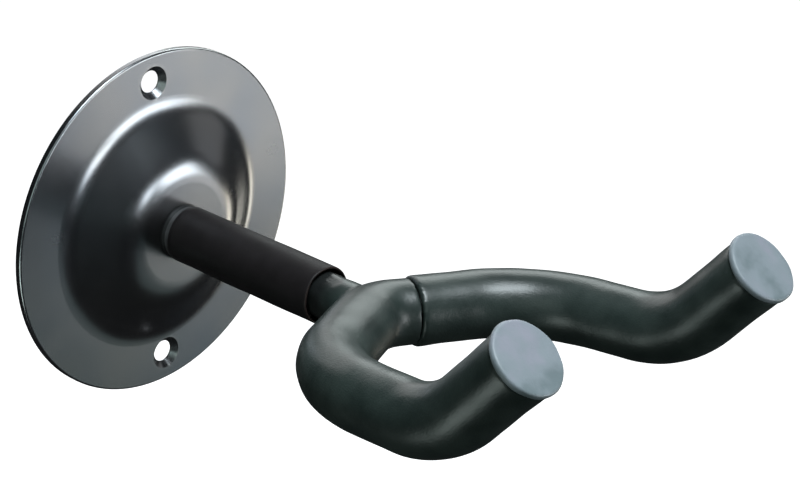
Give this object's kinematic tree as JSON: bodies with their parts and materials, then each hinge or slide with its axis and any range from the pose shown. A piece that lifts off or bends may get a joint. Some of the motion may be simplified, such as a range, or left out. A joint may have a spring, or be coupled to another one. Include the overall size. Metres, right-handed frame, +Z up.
{
  "type": "wall guitar hanger",
  "caption": "Round pressed wall plate with a short neck and a padded two-arm yoke that swivels to cradle a guitar headstock.",
  "frame": {"origin": "centre of the wall plate on the wall plane, midway between the two screw holes", "axes": "+Z up, wall plane at Y = 0, yoke reaching out along -Y, +X to the viewer's right when facing the wall"},
  "size_m": [0.0899, 0.1411, 0.08],
  "materials": {
    "plate_finish": "smooth semi-gloss gunmetal lacquer",
    "bush_plastic": "black nylon",
    "post_steel": "zinc-plated, satin",
    "rod_steel": "drawn steel, plain",
    "tube_vinyl": "smooth black vinyl tube, satin",
    "arm_foam": "closed-cell foam, fine pores, matte",
    "cap_foam": "smooth dense foam disc, satin",
    "fastener_zinc": "bright zinc",
    "spring_steel": "phosphated spring steel",
    "insert_nylon": "blue nylon"
  },
  "bodies": {
    "plate": {"wall_plate": "plate_finish", "swivel_bush": "bush_plastic"},
    "yoke": {"neck_post": "post_steel", "thrust_collar": "post_steel", "weld_bead": "post_steel", "arm_rod": "rod_steel", "neck_tube": "tube_vinyl", "near_arm_sleeve": "arm_foam", "far_arm_sleeve": "arm_foam", "near_end_cap": "cap_foam", "far_end_cap": "cap_foam", "rear_washer": "fastener_zinc", "wave_washer": "spring_steel", "lock_nut": "fastener_zinc", "nut_insert": "insert_nylon"}
  },
  "joints": [
    {"name": "yoke_swivel", "type": "hinge", "parent": "plate", "child": "yoke", "pos_m": [0, 0, 0], "axis": [0, -1, 0], "continuous": true}
  ]
}
